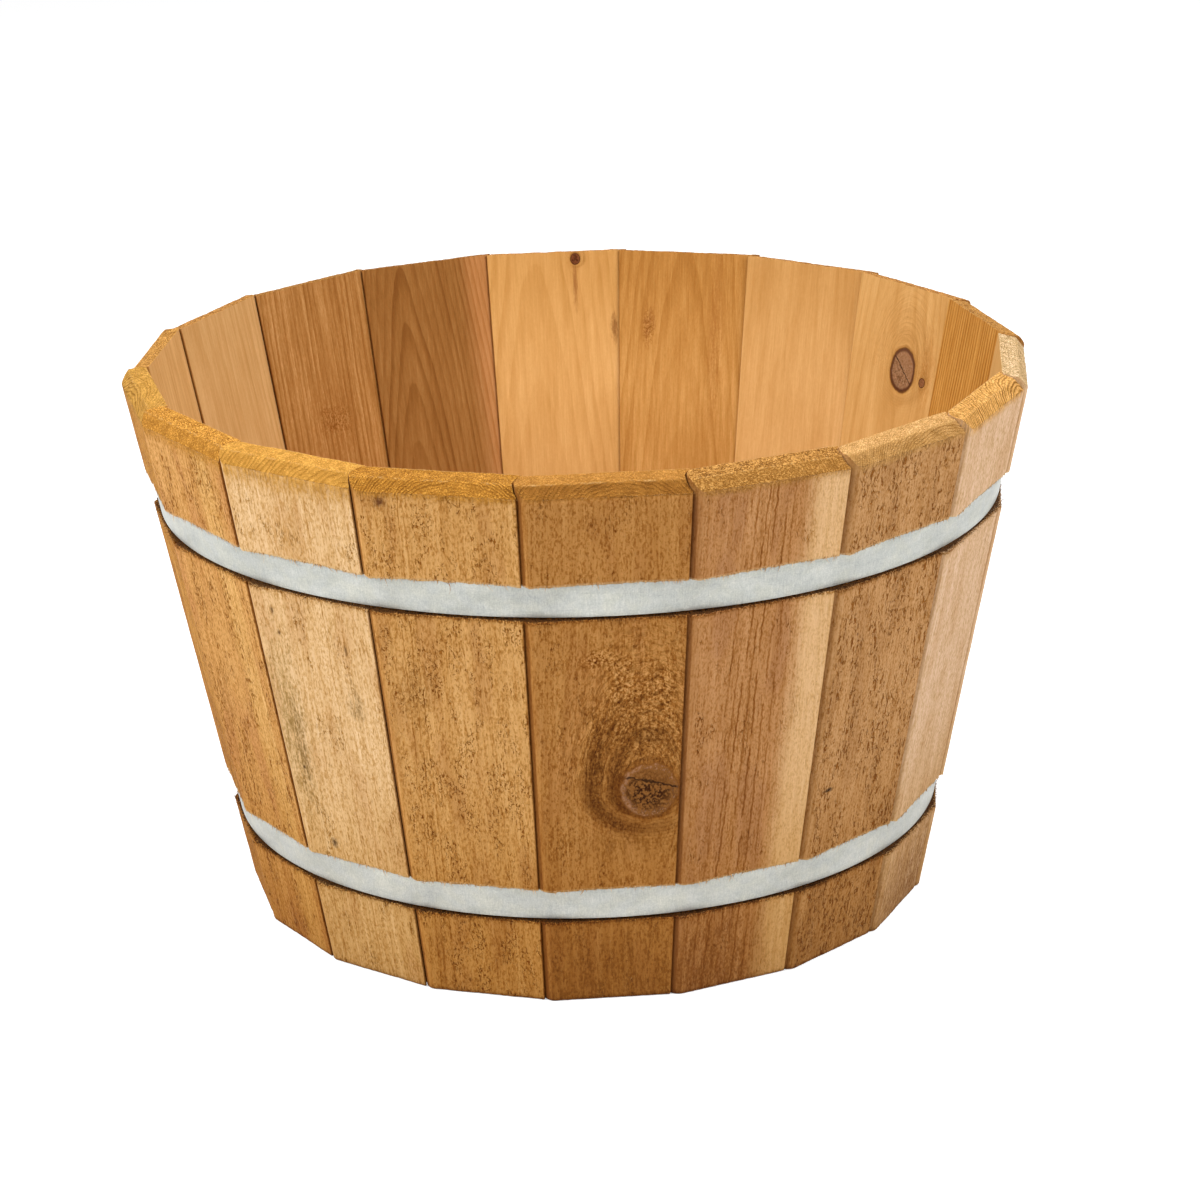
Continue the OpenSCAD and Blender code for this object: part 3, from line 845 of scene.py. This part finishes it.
def make_hoop(name, z0, material, seed):
    """A strap from its free end, once round, up over a step and on to its outer end."""
    r = face_r(z0)
    lap, step = LAP_LEN / r, LAP_STEP / r
    start = LAP_TURN - lap / 2 + LAP_END_GAP / r
    finish = LAP_TURN + lap / 2 + 2 * pi
    jog = LAP_TURN - lap / 2 + 2 * pi - step
    turns = np.concatenate([np.linspace(start, jog, HOOP_CUTS),
                            np.linspace(jog, jog + step, JOG_CUTS)[1:],
                            np.linspace(jog + step, finish, LAP_CUTS)[1:]])
    edge = HOOP_EDGE_ROUND
    half_w, half_t = HOOP_W / 2, HOOP_T / 2
    section = []
    for cu, cv, first in ((1, 1, 0), (-1, 1, 90), (-1, -1, 180), (1, -1, 270)):
        for a in np.radians(np.array((0, 30, 60, 90)) + first):
            section.append((cu * (half_w - edge) + edge * cos(a),
                            cv * (half_t - edge) + edge * sin(a)))
        if (cu, cv) == (1, 1) or (cu, cv) == (-1, -1):
            section += [(cu * w, cv * half_t) for w in (6, 3, 0, -3, -6)]
    section = np.array(section)
    points, grain = [], []
    for k, turn in enumerate(turns):
        lift = LAP_RISE * float(smooth((turn - jog) / step))
        u, v = section.T
        bend = lattice(turn * r / 40, u / 30, seed, 31) * 0.12 - 0.06
        swell = lattice(turn * r / 11, u / 9, seed, 33) * 0.06 - 0.03
        narrow, thin = (0.985, 0.8) if k in (0, len(turns) - 1) else (1, 1)
        middle = STRAP_BACK + half_t + lift
        points.append(on_cone(z0, u * narrow, middle + v * thin + bend + swell, turn))
        grain.append(points_of(turn * r, v, u))
    around = len(section)
    faces = bands(len(turns), around)
    faces += [tuple(range(around)), tuple((len(turns) - 1) * around + j for j in range(around))]
    replace_node(name, "galvanised", points, faces, material, "hoop_steel", 50, grain=grain)


def make_rivets(name, z0, material, seed):
    """The domed heads of two rivets, each a little uneven from the hammer."""
    points, grain, faces = [], [], []
    head = RIVET_HEAD_D / 2
    profile = [(0.0, 1.0), (0.25, 0.97), (0.5, 0.85), (0.72, 0.64), (0.88, 0.36), (0.97, 0.13),
               (0.99, 0.0), (0.9, -0.12)]
    spokes = RIVET_SPOKES
    for side in (-1, 1):
        base = sum(len(p) for p in points)
        turn0 = LAP_TURN + side * RIVET_PITCH / 2 / face_r(z0)
        for share, tall in profile:
            angles = np.arange(spokes) * 2 * pi / spokes
            w = head * share * np.cos(angles)
            u = head * share * np.sin(angles)
            dents = lattice(w / 2.5, u / 2.5, seed + side, 41) * 0.16 * share
            v = STRAP_FACE + LAP_RISE + RIVET_HEAD_H * tall * 0.98 - dents
            points.append(on_cone(z0, u, v, turn0 + w / face_r(z0)))
            grain.append(points_of(w, v, u))
        faces += bands(len(profile), spokes, base)
        faces.append(tuple(base + (len(profile) - 1) * spokes + j for j in range(spokes)))
    replace_node(name, "domed", points, faces, material, "rivet_steel", 60, grain=grain)


# ------ floor boards
def make_floor_board(number):
    """The board as packed, with its edges eased."""
    node = f"floor_board_{number}"
    work = bmesh.new()
    work.from_mesh(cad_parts[node].data)
    bmesh.ops.remove_doubles(work, verts=work.verts, dist=0.01 * MM)
    bmesh.ops.dissolve_limit(work, angle_limit=radians(4), verts=work.verts,
                             edges=work.edges)
    sharp = [e for e in work.edges
             if len(e.link_faces) == 2 and e.calc_face_angle() > radians(50)]
    bmesh.ops.bevel(work, geom=sharp, offset=BOARD_EASE * MM, segments=2, profile=0.6,
                    affect="EDGES", clamp_overlap=True)
    bmesh.ops.triangulate(work, faces=work.faces)
    bmesh.ops.recalc_face_normals(work, faces=work.faces)
    points = np.array([v.co for v in work.verts]) / MM
    faces = [tuple(v.index for v in f.verts) for f in work.faces]
    work.free()
    low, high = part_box(node)
    middle_y, top_z = (low.y + high.y) / 2 / MM, high.z / MM
    grain = points_of(points[:, 1] - middle_y, points[:, 2] - top_z, points[:, 0] + 200)
    none = np.zeros(len(points))
    wood = Wood("#bd8c55", "#c4935c", "#b98748", late=0.5, ring=3.4 + 0.3 * number,
                pith=(-12 + 7 * number, 34 - 3 * number), rise=0.03, streaks=0.7,
                knots=[Knot(14, 262, 6, 8, "#6f452b", (0, 0.4))] if number == 2 else (),
                jointed=False)
    replace_node(node, "cedar", points, faces,
                 wood_material(f"cedar_{node}", wood, 300 + number * 7), "cedar_floor", 30,
                 grain=grain, zone=points_of(none + 1, none, none),
                 ledge=points_of(none, none, none))


# ------ torn fibres
def fibre_material(name, pale, dark):
    g = Shader(bpy.data.materials.new(name))
    shade, along, _ = g.attribute("grain")
    colour = g.darken(g.blend(shade, pale, dark), 0.35 - along * 0.35)
    return g.finish(colour, 0.85, specular=WOOD_SPECULAR)


class Fibres:
    """Loose slivers of wood, gathered into one mesh: each a curved, tapered strand."""

    def __init__(self):
        self.points, self.faces, self.marks = [], [], []

    def strand(self, root, way, side, length, width, curl, shade):
        """From the root along the way given, bending to the side by curl, ending in a point."""
        way, side = way / np.linalg.norm(way), side / np.linalg.norm(side)
        flat = np.cross(way, side)
        base = len(self.points)
        for i in range(STRAND_CUTS):
            t = i / (STRAND_CUTS - 1)
            middle = root + way * length * t + side * curl * length * t * t
            wide = width * (1 - 0.94 * t)
            for a in STRAND_ANGLES:
                self.points.append(middle + side * wide * 0.5 * cos(a)
                                   + flat * wide * 0.32 * sin(a))
                self.marks.append((shade, t, 0))
        self.faces += bands(STRAND_CUTS, len(STRAND_ANGLES), base)
        tip = len(self.points)
        self.faces += [(base, base + 2, base + 1), (tip - 3, tip - 2, tip - 1)]

    def piece(self, name, material):
        new_piece(name, self.points, self.faces, material, "cedar_staves",
                  grain=self.marks).data.shade_smooth()


def stave_axes(index):
    """A stave's directions on the barrel, across, outward and along, and its turn."""
    turn = stave_turn(index)
    c, n = cos(turn), sin(turn)
    across = np.array([c, n, 0.0])
    outward = np.array([n * COS, -c * COS, -SIN])
    along = np.array([n * SIN, -c * SIN, COS])
    return across, outward, along, turn


def shoulder_fibres(rng):
    """Slivers hanging over each strap from above, and brown fluff on the ledge below it."""
    hanging, fluff = Fibres(), Fibres()
    for index, z in itertools.product(range(STAVES), HOOP_HEIGHTS):
        across, outward, along, turn = stave_axes(index)
        low, high = groove_edges(z)
        wide = half_width(groove_middle(z))
        for _ in range(SLIVERS):
            x = rng.uniform(-wide - 1, wide - LIP_SETBACK)
            bow = x * x / (2 * face_r(z))
            root = to_barrel(x, -THICK / 2 + rng.uniform(0.1, 0.6), high + 0.5 - bow * SIN, turn)
            way = -along + across * rng.normal(0, 0.22) + outward * rng.uniform(-0.02, 0.16)
            hanging.strand(root, way, across, rng.gamma(2.2, 0.55) + 0.7, rng.uniform(0.3, 0.9),
                           rng.normal(0, 0.3), rng.uniform(0, 0.75))
        for _ in range(FLUFF):
            x = rng.uniform(-wide - 4, wide - LIP_SETBACK)
            bow = x * x / (2 * face_r(z))
            depth = rng.uniform(0, 1.5 + bow)
            s = low + rng.uniform(-0.3, 0.4) - bow * SIN
            root = to_barrel(x, -THICK / 2 + depth, s, turn)
            way = (along * rng.uniform(-0.6, 1) + outward * rng.uniform(0.2, 0.8)
                   + across * rng.normal(0, 0.8))
            fluff.strand(root, way, across, rng.gamma(2.0, 0.5) + 0.6, rng.uniform(0.2, 0.6),
                         rng.normal(0, 0.5), rng.uniform(0, 1) ** 0.6)
    across, outward, along, turn = stave_axes(STAVES - 1)
    root = to_barrel(-2, -THICK / 2 - 0.1, groove_middle(UPPER_HOOP_Z) + HOOP_W / 2, turn)
    hanging.strand(root, -along + across * 0.5 + outward * 0.2, -across, 7.5, 0.5, 0.45, 1.0)
    hanging.piece("cedar_slivers_over_hoops",
                  fibre_material("cedar_slivers", "#f0cc9a", "#a86e38"))
    fluff.piece("cedar_fluff_under_hoops",
                fibre_material("cedar_fluff", "#8f5f30", "#35200f"))


def face_fibres(rng):
    """Fine hairs that the saw raised on the outside faces, and splinters along the rim."""
    hairs = Fibres()
    for index in range(STAVES):
        across, outward, along, turn = stave_axes(index)
        for _ in range(FACE_HAIRS):
            s = rng.uniform(8, STAVE_LEN - 10)
            x = rng.uniform(-1, 1) * (half_width(s) - 6)
            if min(abs(s - groove_middle(z)) for z in HOOP_HEIGHTS) < CLEAR_OF_HOOPS:
                continue
            root = to_barrel(x, -THICK / 2 + 0.2, s, turn)
            way = along * rng.choice((-1, 1)) + outward * rng.uniform(0.1, 0.6)
            way = way + across * rng.normal(0, 0.3)
            hairs.strand(root, way, across, rng.gamma(2, 0.7) + 0.6, rng.uniform(0.12, 0.25),
                         rng.normal(0, 0.4), rng.uniform(0, 1))
        for _ in range(RIM_HAIRS):
            s = STAVE_LEN - RIM_CHAMFER - 0.1
            x = rng.uniform(-1, 1) * (half_width(s) - 4)
            root = to_barrel(x, -THICK / 2 + 0.15, s, turn)
            way = along * rng.uniform(0.3, 1) + outward * rng.uniform(0.05, 0.3)
            way = way + across * rng.normal(0, 0.5)
            hairs.strand(root, way, across, rng.gamma(2, 0.22) + 0.3, rng.uniform(0.15, 0.35),
                         rng.normal(0, 0.4), rng.uniform(0, 0.6))
    for index, x, s, length in SPLINTERS:
        across, outward, along, turn = stave_axes(index)
        for _ in range(3):
            root = to_barrel(x + rng.normal(0, 1.5), -THICK / 2 + 0.2, s + rng.normal(0, 2), turn)
            way = outward + along * rng.uniform(-0.9, 0.9) + across * rng.normal(0, 0.4)
            hairs.strand(root, way, along, length * rng.uniform(0.4, 1), rng.uniform(0.2, 0.35),
                         rng.normal(0, 0.5), rng.uniform(0.5, 1))
    hairs.piece("cedar_raised_fibres", fibre_material("cedar_raised", "#ddb07a", "#8a5a2e"))


# ------ studio
FLOOR_REACH, FLOOR_LEVEL = 9.0, -0.0004
CAMERA_ELEVATION, CAMERA_ROLL = radians(19.27), radians(-1.42)
CAMERA_AIM, CAMERA_DISTANCE = Vector((7.0, 0, 155.5)) * MM, 1.954
PHOTO_SIZE, FOCAL_LENGTH, PHOTO_CENTRE = 1200, 3423, (595.5, 604)
SENSOR = 36


def seen_directly(g):
    """1 where the camera, a reflection or a refraction looks, and else 0."""
    path = g.add("ShaderNodeLightPath").outputs
    seen = Value(g, path["Is Camera Ray"]).at_least(path["Is Glossy Ray"])
    return seen.at_least(path["Is Transmission Ray"])


def make_floor():
    """A matte floor that takes the barrel's shadow, and looks white itself."""
    mesh = bpy.data.meshes.new("studio_floor")
    r, z = FLOOR_REACH, FLOOR_LEVEL
    mesh.from_pydata([(-r, -r, z), (r, -r, z), (r, r, z), (-r, r, z)], [], [(0, 1, 2, 3)])
    g = Shader(bpy.data.materials.new("studio_floor"))
    g.tree.nodes.clear()
    matte = g.add("ShaderNodeBsdfDiffuse", Color=(0.45, 0.45, 0.45, 1))
    pale = g.add("ShaderNodeBsdfDiffuse", Color=(0.85, 0.85, 0.85, 1))
    bright = g.add("ShaderNodeAddShader", pale, g.add("ShaderNodeEmission", Strength=0.55))
    mixed = g.add("ShaderNodeMixShader", seen_directly(g), matte, bright)
    g.add("ShaderNodeOutputMaterial", mixed)
    mesh.materials.append(g.holder)
    put("studio_floor", mesh)


def make_world():
    """White where it is seen, and dimmer where it lights the barrel."""
    g = Shader(bpy.data.worlds.new("studio"))
    g.tree.nodes.clear()
    fill = g.add("ShaderNodeBackground", Color="#ffffff", Strength=0.42)
    shown = g.add("ShaderNodeBackground", Color="#ffffff", Strength=1)
    mixed = g.add("ShaderNodeMixShader", seen_directly(g), fill, shown)
    g.add("ShaderNodeOutputWorld", mixed)
    bpy.context.scene.world = g.holder


def softbox(name, azimuth, elevation, distance, size, power):
    """A square lamp that looks at the barrel's middle. Azimuth 0 is in front, 90 at the right."""
    lamp = bpy.data.lights.new(name, "AREA")
    lamp.shape = "SQUARE"
    lamp.size = size
    lamp.energy = power
    holder = put(name, lamp)
    a, e = radians(azimuth), radians(elevation)
    away = Vector((sin(a) * cos(e), -cos(a) * cos(e), sin(e)))
    holder.location = Vector((0, 0, HEIGHT / 2 * MM)) + away * distance
    holder.rotation_euler = away.to_track_quat("Z", "Y").to_euler()


def make_camera():
    """The photograph's view: from in front and above, turned a little clockwise."""
    camera = bpy.data.cameras.new("camera")
    camera.sensor_width = SENSOR
    camera.lens = FOCAL_LENGTH / PHOTO_SIZE * SENSOR
    camera.shift_x = (PHOTO_SIZE / 2 - PHOTO_CENTRE[0]) / PHOTO_SIZE
    camera.shift_y = (PHOTO_CENTRE[1] - PHOTO_SIZE / 2) / PHOTO_SIZE
    holder = put("camera", camera)
    rise, reach = sin(CAMERA_ELEVATION), cos(CAMERA_ELEVATION)
    c, n = cos(CAMERA_ROLL), sin(CAMERA_ROLL)
    right, up, back = Vector((1, 0, 0)), Vector((0, rise, reach)), Vector((0, -reach, rise))
    turn = Matrix((c * right + n * up, c * up - n * right, back))
    place = Matrix.Translation(CAMERA_AIM + back * CAMERA_DISTANCE)
    holder.matrix_world = place @ turn.transposed().to_4x4()
    bpy.context.scene.camera = holder


make_camera()
for index, wood in enumerate(CEDAR):
    make_stave(index, wood)
strap_zinc = zinc_material("galvanised_steel", "#aeb0ab", 500)
rivet_zinc = zinc_material("rivet_zinc", "#9fa5a4", 520)
make_hoop("upper_hoop", UPPER_HOOP_Z, strap_zinc, 1)
make_hoop("lower_hoop", LOWER_HOOP_Z, strap_zinc, 2)
make_rivets("upper_hoop_rivets", UPPER_HOOP_Z, rivet_zinc, 3)
make_rivets("lower_hoop_rivets", LOWER_HOOP_Z, rivet_zinc, 6)
for number in range(1, FLOOR_BOARDS + 1):
    make_floor_board(number)
shoulder_fibres(np.random.default_rng(11))
face_fibres(np.random.default_rng(12))
make_floor()
make_world()
softbox("left_softbox", -62, 38, 2.0, 1.3, 28.5)
softbox("right_softbox", 62, 38, 2.0, 1.3, 23.5)
softbox("top_softbox", 0, 80, 1.9, 1.4, 22)
bpy.context.scene.view_settings.view_transform = "Standard"
